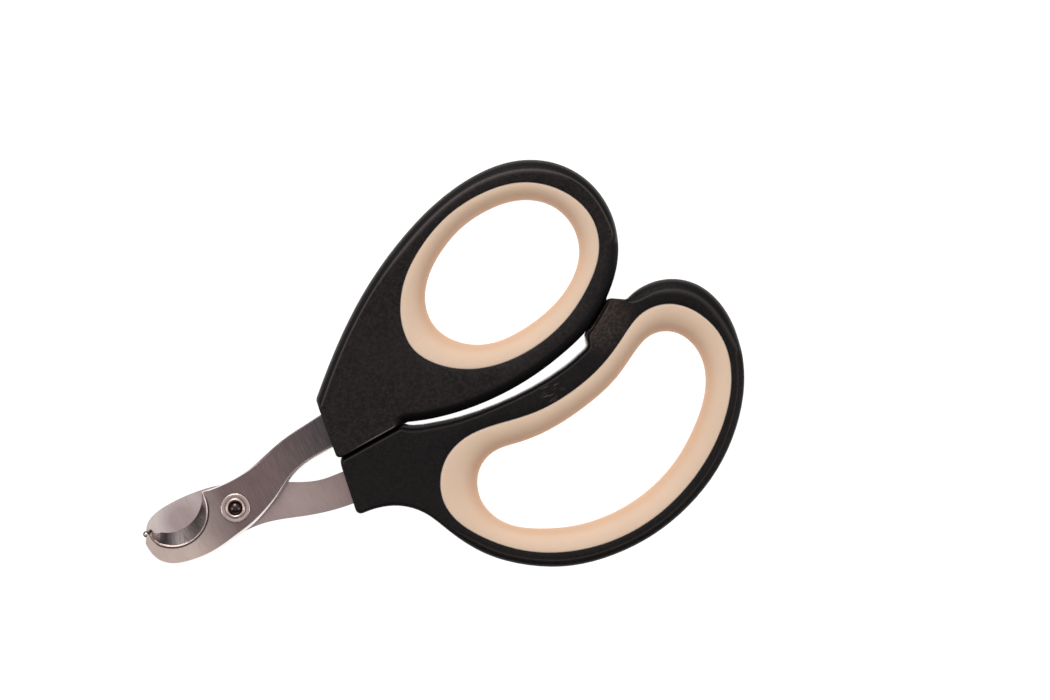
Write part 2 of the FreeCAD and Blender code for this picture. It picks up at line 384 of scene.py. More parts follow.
def rgb(red, green, blue):
    """A colour given as it looks on screen, 0 to 255, in linear light."""
    levels = [c / 255 for c in (red, green, blue)]
    return (*[c / 12.92 if c <= 0.04045 else ((c + 0.055) / 1.055) ** 2.4 for c in levels], 1.0)


def plastic(name, deep_colour, grain_colour, lit_patch_at, scuffed_at):
    """Black moulding with a fine spark-eroded grain, a painted warm reflection on its rim, and at two spots
    a painted highlight patch and scuffs.
    """
    m = Nodes(name)
    grain = m.noise(2600, 2.0, 0.6)
    speck = m.noise(1500, 3.0, 0.75)
    blotch = m.noise(90, 3.0, 0.55)
    base = m.mix(m.ramp(speck, 0.40, 0.64), deep_colour, grain_colour)
    base = m.mix(m.ramp(blotch, 0.4, 0.7, 0.0, 0.30), base, grain_colour)
    # painted highlight: a paler, grainy patch round one spot
    pale = m.math("MULTIPLY", m.near(lit_patch_at, 8.0, 2.0), m.ramp(speck, 0.42, 0.62, 0.15, 0.6))
    base = m.mix(pale, base, rgb(90, 76, 70))
    # painted warm reflection of the floor along the outer rim
    base = m.mix(m.painted("rim_reflection", 0.3), base, rgb(92, 70, 56))
    # painted highlight on crests and lit edges
    base = m.mix(m.painted("worn", 0.5), base, rgb(112, 100, 96))
    strokes = m.noise(1.0, 1.0, 0.4, m.stretched((420, 3400, 420), math.radians(62)))
    scuffs = m.math("MULTIPLY", m.ramp(strokes, 0.60, 0.68), m.near(scuffed_at, 3.2, 1.6))
    base = m.mix(m.math("MULTIPLY", scuffs, 0.4), base, rgb(116, 108, 104))
    # painted shade on shaded edges, the brow over the slot and the rounded shoulder
    base = m.mix(m.painted("dark", 0.92), base, rgb(2, 1, 1))
    base = m.mix(m.painted("lit", 0.5), base, rgb(140, 130, 132))
    rough = m.math("ADD", m.ramp(grain, 0.3, 0.7, 0.40, 0.56), m.painted("dark", 0.1))
    rough = m.math("SUBTRACT", rough, m.painted("lit", 0.3))
    m.set(Base_Color=base, Roughness=rough, Specular_IOR_Level=0.2)
    m.set(Normal=m.bump(grain, 0.00003, 0.8, m.bump(blotch, 0.00005, 0.3)))
    return m.material


def soft_rubber(name):
    """Warm beige rubber: smooth and matte, with a painted highlight at its outer seam and painted warm shade
    where it rolls into the hole.
    """
    m = Nodes(name)
    cloud = m.noise(70, 3.0, 0.55)
    fine = m.noise(3000, 2.0, 0.5)
    base = m.mix(m.ramp(cloud, 0.3, 0.7), rgb(230, 200, 175), rgb(236, 207, 182))
    # painted warm shade where the grip rolls into its hole
    base = m.mix(m.painted("inner", 0.7), base, rgb(222, 177, 141))
    # painted highlight along the outer seam
    base = m.mix(m.painted("worn", 0.6), base, rgb(236, 228, 226))
    base = m.mix(m.ramp(fine, 0.62, 0.78, 0.0, 0.12), base, rgb(176, 146, 120))
    m.set(Base_Color=base, Roughness=m.ramp(cloud, 0.3, 0.7, 0.50, 0.62), Specular_IOR_Level=0.3)
    m.set(Subsurface_Weight=0.12, Subsurface_Scale=0.0012, Subsurface_Radius=(1.0, 0.5, 0.3))
    m.set(Normal=m.bump(fine, 0.00001, 0.6))
    return m.material


NECK_FROM, HEAD_FROM = (25, 11), (-1, -12)  # where along the tool a blade's colour and painted reflection turn to the next
RIM_CENTRE = at(-11.3, 3.0)  # the painted highlight on the rear blade's head grows away from here
PALEST_CUT = math.radians(-78)  # direction from the notch's middle in which the painted reflection on the ground wall is palest
CUT_FADE = (math.radians(6), math.radians(44))


def ground_cut(m, notch_at):
    """The colour of the crescent's ground wall: rays round it, and a painted reflection that is palest low
    down and beside the ball.
    """
    centred = m.vector("SUBTRACT", m.place, notch_at).outputs[0]
    parts = m.node("SeparateXYZ", {"Vector": centred})
    angle = m.math("ARCTAN2", parts.outputs["Y"], parts.outputs["X"])
    round_notch = {"X": m.math("MULTIPLY", angle, 30.0), "Y": m.math("MULTIPLY", parts.outputs["Z"], 500.0)}
    rays = m.noise(1.0, 4.0, 0.75, m.node("CombineXYZ", round_notch).outputs[0])
    from_palest = m.math("ABSOLUTE", m.math("SUBTRACT", angle, PALEST_CUT))
    cut = m.mix(m.ramp(from_palest, *CUT_FADE), rgb(176, 162, 159), rgb(94, 86, 88))
    cut = m.mix(m.ramp(rays, 0.42, 0.66, 0.0, 0.45), cut, rgb(40, 36, 38))
    return m.mix(m.near(at(*HORN_BALL, 1.0), 3.4, 1.4, 0.4), cut, rgb(196, 180, 176))


def brushed_steel(name, arm_colour, neck_colour, head_colour, streak_turn, notch_at, rim_highlight):
    """Ground stainless steel: brushed across the arm, with a painted reflection that is darker on the arm
    and paler at the head, painted highlights and shadows on its edges, and a darker ground crescent.
    """
    m = Nodes(name)
    along = m.node("SeparateXYZ", {"Vector": m.place}).outputs["X"]
    neck, head = [m.ramp(along, at(low, 0)[0], at(high, 0)[0]) for low, high in (NECK_FROM, HEAD_FROM)]
    lines = m.noise(1.0, 4.0, 0.75, m.stretched((5200, 240, 240), streak_turn))
    fine = m.noise(2400, 3.0, 0.6)
    cloud = m.noise(150, 2.0, 0.5)
    # painted reflection: darker on the arm, paler through the neck to the head
    base = m.mix(head, m.mix(neck, arm_colour, neck_colour), head_colour)
    # painted highlight on the rear head's rim
    rim = m.math("MULTIPLY", m.near(RIM_CENTRE, 2.4, 5.4, rim_highlight), head)
    base = m.mix(rim, base, rgb(255, 240, 238))
    base = m.mix(m.ramp(lines, 0.45, 0.75, 0.0, 0.13), base, rgb(225, 214, 214))
    base = m.mix(m.ramp(lines, 0.5, 0.25, 0.0, 0.14), base, rgb(60, 50, 54))
    base = m.mix(m.ramp(cloud, 0.42, 0.75, 0.0, 0.18), base, rgb(104, 96, 110))
    base = m.mix(m.painted("ground"), base, ground_cut(m, notch_at))
    # painted highlights on rounded edges, the notch's lip and the top of the ball
    base = m.mix(m.painted("worn", 0.85), base, rgb(250, 244, 240))
    # painted shadow beside the notch's lip and round the side of the ball
    base = m.mix(m.painted("dark", 0.9), base, rgb(26, 22, 24))
    rough = m.math("ADD", m.ramp(lines, 0.2, 0.8, 0.26, 0.38), m.ramp(fine, 0.3, 0.7, -0.03, 0.03))
    rough = m.math("SUBTRACT", rough, m.painted("worn", 0.08))
    m.set(Base_Color=base, Metallic=1.0, Roughness=rough)
    m.set(Normal=m.bump(fine, 0.000003, 0.5, m.bump(lines, 0.00001, 0.5)))
    return m.material


def turned_steel(name, colour):
    """Small rolled steel part with fine rings about the pivot, with painted highlights on its rounded rims
    and painted shade in its groove and down in its glossy hollow.
    """
    m = Nodes(name)
    centred = m.vector("SUBTRACT", m.place, tuple(PIVOT * MM)).outputs[0]
    away = m.node("VectorMath", {0: centred}, operation="LENGTH").outputs["Value"]
    inputs = {"W": m.math("MULTIPLY", away, 9000.0), "Scale": 1.0}
    rings = m.node("TexNoise", inputs, noise_dimensions="1D").outputs[0]
    cloud = m.noise(700, 2.0, 0.5)
    base = m.mix(m.ramp(cloud, 0.35, 0.7, 0.0, 0.3), colour, rgb(150, 134, 128))
    # painted highlight on rounded rims
    base = m.mix(m.painted("worn", 0.45), base, rgb(252, 240, 232))
    # painted shade round the roll's foot, in the groove and down in the hollow
    base = m.mix(m.painted("dark", 0.95), base, rgb(70, 58, 56))
    rough = m.math("SUBTRACT", m.ramp(rings, 0.3, 0.7, 0.27, 0.38), m.painted("dark", 0.19))
    m.set(Base_Color=base, Metallic=1.0, Roughness=rough)
    m.set(Normal=m.bump(rings, 0.000006, 0.5))
    return m.material


def white_ground(name):
    """Plain white board, lit through like a light table, with a hardly visible tooth."""
    m = Nodes(name)
    tooth = m.noise(900, 2.0, 0.5)
    base = m.mix(m.ramp(tooth, 0.3, 0.7), rgb(120, 120, 120), rgb(128, 128, 128))
    m.set(Base_Color=base, Roughness=0.9, Specular_IOR_Level=0.1, Normal=m.bump(tooth, 0.00001, 0.2))
    m.set(Emission_Color=(1.0, 1.0, 1.0, 1.0), Emission_Strength=1.0)
    return m.material


# ---------------------------------------------------------------- handles

OUTLINE_COUNT = 1200
WALL_HEIGHT, FACE_HEIGHT = 2.2, 3.6  # where the sections cut the outer wall and the raised face
WALL_FOOT = 1.0  # the lowest row of the wall, next to the parting line
EDGE_ROWS = 14
STEP_DEEP, STEP_END = 2.6, 70.0  # rounding outside the raised face: its depth and where it meets the crest
CREST_DROP = 0.28  # how far the crest sinks for each millimetre of its softness
TIGHT_GAP = (0.42, 0.60)  # gaps between the handles up to the first are closed, and over the second open
SHUT_SHARE = 0.62  # share of a tight gap that each handle's wall crosses, at different heights
PARTING_OUT = 0.04  # how far the parting line stands out elsewhere
HOLE_LIP = 0.12
FACE_SPACING = 2.2


def edge(wide, deep, turn_from=0, turn_to=90, draft=0.0, gloom=0.0, fade=0.2, rim_light=0.0, pale=0.0):
    """An edge shape: a rounding, given as an ellipse's half-axes and the angles where it starts and ends.

    draft is the lean of the wall below it, gloom how strong its painted shade is, fade how far that shade
    runs into the face, rim_light the painted highlight on its inner rim and pale the painted light from the
    floor on the wall.
    """
    return np.array([draft, wide, deep, turn_from, turn_to, gloom, fade, rim_light, pale], float)


PLAIN_EDGE = edge(0.45, 0.45, draft=0.08)
SLOT_BROW = edge(3.0, 3.0, 25, 74, gloom=1.0, fade=0.7)
SLOT_WALL = edge(1.08, 4.4, 0, 84, gloom=0.9, rim_light=0.7, pale=1.0)
SLOT_START = edge(1.55, 4.4, 0, 84, gloom=1.0, rim_light=0.35, pale=1.0)
SEAM_WALL = edge(0.80, 3.2, 0, 84, gloom=1.0, rim_light=0.8)
SEAM_EDGE = edge(0.15, 0.15, gloom=0.6, fade=0.15)
LIT_SEAM_EDGE = edge(0.22, 0.22, fade=0.12, rim_light=3.0)
BROAD_EDGE = edge(1.4, 1.4, rim_light=0.4)
NECK_EDGE = edge(0.8, 0.8)

# Stretches of x over which one edge shape gives way to the next. Spots are points from the pivot.
SLOT_FROM, STOP_FROM, STOP_TO, LOOP_FROM = (37.6, 40.0), (82.6, 84.0), (87.6, 88.8), (34, 40)


def upper_edges(spots):
    """Painted shade on a brow over the slot and the stop, nearly sharp at the seam, with a painted highlight
    towards the slot.
    """
    x, y = spots.T
    seam = (1 - ease(x, 37.4, 38.8)) * (1 - ease(y, 0.0, 1.5)) * ease(x, 24.4, 25.2)
    lit = seam * ease(x, 25.5, 33) * (1 - ease(x, 36.8, 37.8))
    brow = ease(x, 37.2, 39.2) * (1 - ease(y, 17.0, 21.0) * ease(x, 80, 90))
    brow = brow * (1 - ease(y, 22.0, 26.0))
    return (SEAM_EDGE, seam), (LIT_SEAM_EDGE, lit), (SLOT_BROW, brow)


def lower_edges(spots):
    """Walls that curve in from the seam, slot and stop, broad rounding under the finger loop."""
    x, y = spots.T
    seam = (1 - ease(x, *SLOT_FROM)) * ease(y, -2.4, -1.8)
    slot = ease(x, *SLOT_FROM) * (1 - ease(x, *STOP_FROM)) * ease(y, -9.0, -7.4)
    slot_start = slot * (1 - ease(x, 46, 60))
    stop = ease(x, *STOP_FROM) * (1 - ease(x, *STOP_TO)) * ease(y, -3.6, -2.6)
    under = (1 - ease(y, -17.0, -13.5)) * ease(x, *LOOP_FROM)
    neck = (1 - ease(y, -13.0, -11.6)) * (1 - ease(x, *LOOP_FROM))
    walls = (SEAM_WALL, seam), (SLOT_WALL, slot), (SLOT_START, slot_start), (SEAM_WALL, stop)
    return *walls, (BROAD_EDGE, under), (NECK_EDGE, neck)


def upper_crest(spots):
    """How softly the crest meets the face: softer at the far end of the thumb loop."""
    return 0.22 + 0.35 * ease(spots[:, 1], 28, 34)


def lower_crest(spots):
    """Crisp next to the stop, then broad."""
    return 0.2 + 0.5 * ease(spots[:, 0], 95, 102)


def no_push(spots):
    """The upper outline stays where it is."""
    return 0 * spots[:, 0]


def stop_foot(spots):
    """How far the foot of the stop stands out into the end of the slot."""
    x, y = spots.T
    return 0.45 * ease(x, 79.6, 80.9) * (1 - ease(x, 81.9, 83.2)) * ease(y, -5.4, -4.6)


def edge_rows(outline, face_edge, stepped, shape, crest_soft, crest_light):
    """Rows of (points, heights, marks) from low on a handle's wall, over its edge and into the face.

    stepped is 1 where the rim rounds away outside the raised face and 0 where it has the edge shape.
    """
    draft, wide, deep, turn_from, turn_to, gloom, fade, rim_light, pale = shape
    plain = 1 - stepped
    turn_from = np.radians(turn_from * plain)
    turn_to = np.radians(turn_to * plain + STEP_END * stepped)
    deep = deep * plain + STEP_DEEP * stepped
    crest_drop = CREST_DROP * crest_soft * stepped
    wall_top = HANDLE_TOP - crest_drop - deep * (np.sin(turn_to) - np.sin(turn_from))
    lean = inset(outline, draft * plain, 6) - outline
    rows = [
        (outline + 0.45 * lean, np.minimum(WALL_FOOT, 0.8 * wall_top), {"lit": pale * plain}),
        (outline + lean, wall_top, {"lit": pale * plain}),
    ]
    for share in np.arange(1, EDGE_ROWS + 1) / EDGE_ROWS:
        turn = turn_from + (turn_to - turn_from) * share
        degrees = np.degrees(turn)
        across = (1 - np.cos(turn)) / (1 - np.cos(turn_to)) * stepped
        points = outline + lean + (face_edge - outline) * across[:, None]
        points = inset(points, plain * wide * (np.cos(turn_from) - np.cos(turn)), 6)
        height = HANDLE_TOP - crest_drop - deep * (np.sin(turn_to) - np.sin(turn))
        shaded = np.maximum(ease(degrees, 45, 62), np.degrees(turn_from) > 20)
        shoulder_shade = ease(across, 0.22, 0.5) * (1 - 0.6 * ease(across, 0.9, 1.0))
        # painted shade, painted warm reflection at the rim, painted highlight at the crest, painted light
        # from the floor
        marks = {
            "dark": plain * gloom * shaded * (1 - 0.35 * ease(share, 0.8, 1.0)) + stepped * shoulder_shade,
            "rim_reflection": stepped * ease(across, 0.0, 0.03) * (1 - ease(across, 0.08, 0.36)),
            "worn": (0.6 * plain * rim_light + stepped * crest_light) * ease(share, 0.9, 1.0),
            "lit": plain * pale * (1 - ease(degrees, 20, 64)),
        }
        rows.append((points, height, marks))
    # the last rows carry the painted shade and the painted highlight into the face
    soft = 0.12 * plain + crest_soft * stepped
    fade = fade * plain + np.minimum(crest_soft, 0.4) * stepped
    light = plain * rim_light + stepped * crest_light
    points = inset(points, 0.4 * soft, 4)
    rows.append((points, HANDLE_TOP - 0.3 * crest_drop, {"dark": 0.45 * gloom * plain, "worn": light}))
    points = inset(points, 0.6 * soft, 4)
    rows.append((points, HANDLE_TOP, {"dark": 0.4 * gloom * plain * (fade > 0.5), "worn": 0.4 * light}))
    rows.append((inset(points, fade, 6), HANDLE_TOP, {}))
    return rows


def line_hole(bm, hole, face_rims):
    """The wall round a handle's hole, with softly broken edges, and the two faces outside it."""
    rim = resample(hole, OUTLINE_COUNT // 2, hole[0])
    walls = []
    for side, face_rim in zip((1, -1), face_rims):
        outer = add_ring(bm, inset(rim, -HOLE_LIP, 2), side * HANDLE_TOP)
        corner = add_ring(bm, inset(rim, -0.3 * HOLE_LIP, 2), side * (HANDLE_TOP - 0.3 * HOLE_LIP))
        wall = add_ring(bm, rim, side * (HANDLE_TOP - HOLE_LIP))
        walls.append((outer, corner, wall))
        fill_face(bm, face_rim, outer, FACE_SPACING)
    bridge(bm, [*walls[0], *walls[1][::-1]])


def handle(name, neighbour, clear_side, start, edge_shapes, push, crest_soft, crest_light):
    """A loop handle whose rim rounds away outside the raised face and has its own edge shape elsewhere.

    clear_side is the side of the sliding plane where no tang cuts the solid, and start is where the outline
    starts. At its spots, edge_shapes gives edge shapes and their weights, push how far the outline is moved
    out, and crest_soft how wide the crest's rounding is. crest_light is how strong the crest's painted
    highlight is.
    """
    silhouette, hole = section(name, WALL_HEIGHT * clear_side)[:2]
    face = section(name, FACE_HEIGHT * clear_side)[0]
    outline = resample(silhouette, OUTLINE_COUNT, start)
    face_edge = outline + smooth(matched(outline, face) - outline, 4)
    outline = outline - inward(outline) * smooth(push(outline - AXIS), 6)[:, None]
    spots = outline - AXIS
    width = np.hypot(*(face_edge - outline).T)
    pushed = smooth(np.asarray(push(spots) > 0, float), 30)
    stepped = smooth(ease(width, 0.25, 0.9), 4) * (1 - pushed)
    shape = np.tile(PLAIN_EDGE[:, None], OUTLINE_COUNT)
    for edge_shape, weight in edge_shapes(spots):
        shape = shape * (1 - weight) + edge_shape[:, None] * weight
    shape = [smooth(values, 8) for values in shape]
    rows = edge_rows(outline, face_edge, stepped, shape, smooth(crest_soft(spots), 8), crest_light)

    gap = gap_to(outline, resample(section(neighbour, -WALL_HEIGHT * clear_side)[0], 4000, start))
    shut = smooth(SHUT_SHARE * gap * (1 - ease(gap, *TIGHT_GAP)), 4)
    parting = PARTING_OUT * ease(gap, 0.4, 0.6) + 0.5 * shut
    bm = new_mesh()
    upper, lower = [], []
    for side, rings in ((1, upper), (-1, lower)):
        for points, heights, marks in rows:
            if side == clear_side and not rings:  # the first row closes the seam
                points = points - inward(outline) * shut[:, None]
            rings.append(add_ring(bm, points, side * np.asarray(heights)))
            paint(bm, rings[-1], **marks)
    middle = add_ring(bm, outline - inward(outline) * parting[:, None], 0.0)
    bridge(bm, lower[::-1] + [middle] + upper)
    line_hole(bm, hole, (upper[-1], lower[-1]))
    return bm


# ---------------------------------------------------------------- soft grips

GRIP_COUNT = 640
# Rows of (share of the way to the hole, depth below the top) at the outer seam
GRIP_EDGE = ((0.0, 0.75), (0.0, 0.20), (0.012, 0.08), (0.035, 0.02), (0.08, 0.0))
GRIP_FLAT = GRIP_EDGE[-1][0]  # share across where the roll into the hole begins
GRIP_POWER = 2.05  # of the superellipse that the roll follows; 2 would be an ellipse


def grip(name):
    """A soft ring: flat next to the handle, then rolling over into the hole, the same front and back."""
    outer, inner = section(name, WALL_HEIGHT)[:2]
    finger = smooth(resample(inner, GRIP_COUNT, inner[0]), 3)
    rim = nearest_on(outer, smooth(matched(finger, outer), 6))
    profile = [(share, INSERT_TOP - sunk) for share, sunk in GRIP_EDGE]
    for turn in np.linspace(0, math.pi / 2, 24)[1:]:
        across, up = math.sin(turn) ** (2 / GRIP_POWER), math.cos(turn) ** (2 / GRIP_POWER)
        profile.append((GRIP_FLAT + (1 - GRIP_FLAT) * across, INSERT_TOP * up))
    profile += [(share, -height) for share, height in profile[-2::-1]]
    bm = new_mesh()
    rings = []
    for share, height in profile:
        rings.append(add_ring(bm, rim + (finger - rim) * share, height))
        # painted warm shade rolling into the hole, and a painted highlight along the outer seam
        paint(bm, rings[-1], inner=ease(share, 0.55, 0.98), worn=1 - ease(share, 0.005, 0.05))
    bridge(bm, rings, closed=True)
    return bm


# ---------------------------------------------------------------- rivet and washer

LATHE_COUNT = 120
SHANK_R, ROLL_R, MOUTH_R = 1.7, 2.12, 1.42  # the rivet's shank, and the outside and inside of its roll
HEAD_ROUND = 1.1  # how far in the rear head's edge is rounded
DOME_HIGH, DOME_DEEP = 1.0, 0.38  # the domed floor of the hollow: its rise, and how far its foot is sunk
WASHER_BORE_R, WASHER_LEVEL_R = 1.74, 2.3  # the washer's bore, and where its level front begins
WASHER_CROWN = (0.32, 0.22)  # the rounding of its outer edge, across and up


def turned(bm, centre, profile, count):
    """Adds a closed turned shape on an upright axis, from rows of (radius, height, painted highlight,
    painted shade).
    """
    angles = np.linspace(0, 2 * math.pi, count, endpoint=False)
    circle = np.column_stack([np.cos(angles), np.sin(angles)])
    rings = []
    for radius, height, worn, dark in profile:
        spots = centre + radius * circle if radius > 1e-6 else [centre]
        rings.append(add_ring(bm, spots, height))
        paint(bm, rings[-1], worn=worn, dark=dark)
    closing = [(rings[-1], rings[0])] if profile[0][0] > 1e-6 else []
    for a, b in [*zip(rings, rings[1:]), *closing]:
        for i in range(count):
            j = (i + 1) % count
            if len(a) == 1:
                bm.faces.new((a[0], b[j], b[i]))
            elif len(b) == 1:
                bm.faces.new((a[i], a[j], b[0]))
            else:
                bm.faces.new((a[i], a[j], b[j], b[i]))


def lathe(profile):
    """A mesh turned about the pivot."""
    bm = new_mesh()
    turned(bm, AXIS, profile, LATHE_COUNT)
    return bm


def arc(centre, radii, start, end, count, worn=0.0, dark=0.0):
    """Rows of a (radius, height) arc, with angles in degrees from the outward direction."""
    turns = np.radians(np.linspace(start, end, count))
    across, up = centre[0] + radii[0] * np.cos(turns), centre[1] + radii[1] * np.sin(turns)
    return [(radius, height, worn, dark) for radius, height in zip(across, up)]


def span(node):
    """The lowest and highest height of a round CAD node, and its radius."""
    low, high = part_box(node)
    return low.z / MM - MID, high.z / MM - MID, (high.x - low.x) / MM / 2


def rivet_profile():
    """Low rear head, shank, rolled ring in front with a glossy domed floor in its hollow."""
    low, high, head_r = span("pivot_rivet")
    washer_top = span("rivet_washer")[1]
    blade_back = span("rear_blade")[0]
    ring_r, ring_foot = (ROLL_R - MOUTH_R) / 2, washer_top + 0.05
    head_side = blade_back - 0.05
    # rows of (radius, height, painted highlight, painted shade): shade round the roll's foot and in the
    # hollow
    return [
        (0, low, 0, 0),
        *arc((head_r - HEAD_ROUND, head_side), (HEAD_ROUND, head_side - low), -90, 0, 12),
        (head_r, blade_back, 0, 0),
        (SHANK_R, blade_back, 0, 0),
        (SHANK_R, washer_top - 0.12, 0, 0.8),
        (ROLL_R, washer_top - 0.12, 0, 0.4),
        *arc((ROLL_R - ring_r, ring_foot), (ring_r, high - ring_foot), 0, 180, 15, worn=0.8),
        (MOUTH_R, washer_top - 0.1, 0, 0.6),
        (MOUTH_R - 0.04, washer_top - 0.35, 0, 1),
        *arc((0, washer_top - DOME_DEEP), (MOUTH_R - 0.08, DOME_HIGH), 2, 87, 18, dark=1),
        (0, washer_top - DOME_DEEP + DOME_HIGH, 0, 1),
    ]


def washer_profile():
    """A flat ring whose outer edge is rounded and carries a painted highlight, with painted shade in a
    groove round the rivet.
    """
    low, high, outer = span("rivet_washer")
    crown = WASHER_CROWN
    return [
        (WASHER_BORE_R, low, 0, 0.5),
        (outer - 0.05, low, 0, 0.5),
        (outer, low + 0.05, 0, 0.2),
        *arc((outer - crown[0], high - crown[1]), crown, 0, 90, 12, worn=0.7),
        (WASHER_LEVEL_R, high - 0.02, 0.1, 0.0),
        (WASHER_LEVEL_R - 0.1, high - 0.06, 0, 0.35),
        (WASHER_BORE_R, high - 0.14, 0, 0.9),
    ]


# ---------------------------------------------------------------- blades

BLADE_COUNT = 1300
BLADE_SPACING = 1.3
BLADE_CLEAR = 0.02  # between each blade's back and the sliding plane
# Edge arcs: radius, and the angle where the arc ends in a crisp crest (90 runs smoothly into the face)
UPPER_ARM_ARC, LOWER_ARM_ARC, NECK_ARC, HEAD_ARC = (0.3, 90), (2.0, 40), (1.2, 38), (1.5, 38)
NOTCH_ARC, HORN_ARC = (1.2, 42), (0.54, 90)
NOTCH_HEEL = (-4.3, 6.1)  # where the notch meets the arm
# The end of the front blade's horn is drawn onto a circle, wider at its root, and carries a small ball
HORN_BALL, HORN_BALL_R, HORN_ROOT = np.array((-18.57, 3.96)), 0.60, 0.12
TIP_BALL, TIP_BALL_R = np.array((-18.99, 3.89)), 0.70


def round_horn(points, root):
    """The outline with the end of the horn drawn onto a circle, wider by root towards the notch."""
    spots = points - AXIS - HORN_BALL
    away = np.maximum(np.hypot(*spots.T), 1e-6)
    radius = HORN_BALL_R + root * ease(spots[:, 0] / away, 0.0, 0.9)
    above = (spots[:, 1] > 0)[:, None]
    flank = np.column_stack([np.sign(spots[:, 0]) * radius, spots[:, 1]])
    share = (1 - ease(-spots[:, 1], 0.0, 1.9))[:, None]
    moved = np.where(above, spots * (radius / away)[:, None], spots * (1 - share) + flank * share)
    close = (away < 3.0)[:, None] & (spots[:, :1] < 2.2)
    return np.where(close, moved + HORN_BALL + AXIS, points)


def ball_profile(thick):
    """The ball at the tip of the horn: a painted highlight on top, painted shade round its side."""
    centre = thick - TIP_BALL_R + 0.05
    rows = [(0, centre - TIP_BALL_R, 0, 0.9)]
    for radius, height, _, _ in arc((0, centre), (TIP_BALL_R, TIP_BALL_R), -80, 80, 17):
        up = (height - centre) / TIP_BALL_R
        rows.append((radius, height, ease(up, 0.90, 0.97), 0.9 * (1 - ease(up, 0.86, 0.95))))
    return [*rows, (0, centre + TIP_BALL_R, 1, 0)]


def blade_arcs(x, facing, notch, heel, horn, slim):
    """The radius and end angle of the outer edge's arc, blended along the blade."""
    arm = ease(x, 3, 15)
    lower_side = ease(facing, -0.2, 0.4)
    head = ease(-x, 1.0, 6.0) * np.maximum(lower_side, ease(-x, 14.0, 17.0))
    weights = {
        UPPER_ARM_ARC: arm * (1 - lower_side),
        NECK_ARC: (1 - arm) * (1 - lower_side) * (1 - head),
        LOWER_ARM_ARC: lower_side * (1 - head),
        HEAD_ARC: head,
    }
    arcs = sum(np.outer(edge_arc, weight) for edge_arc, weight in weights.items())
    arcs = arcs * (1 - notch) + np.outer(NOTCH_ARC, notch)
    arcs = arcs * (1 - horn) + np.outer(HORN_ARC, horn)
    arcs[0] *= (1 - 0.5 * heel) * (1 - 0.45 * slim * (1 - horn))
    radius, turn_to = (smooth(values, 4) for values in arcs)
    return radius, np.radians(turn_to)


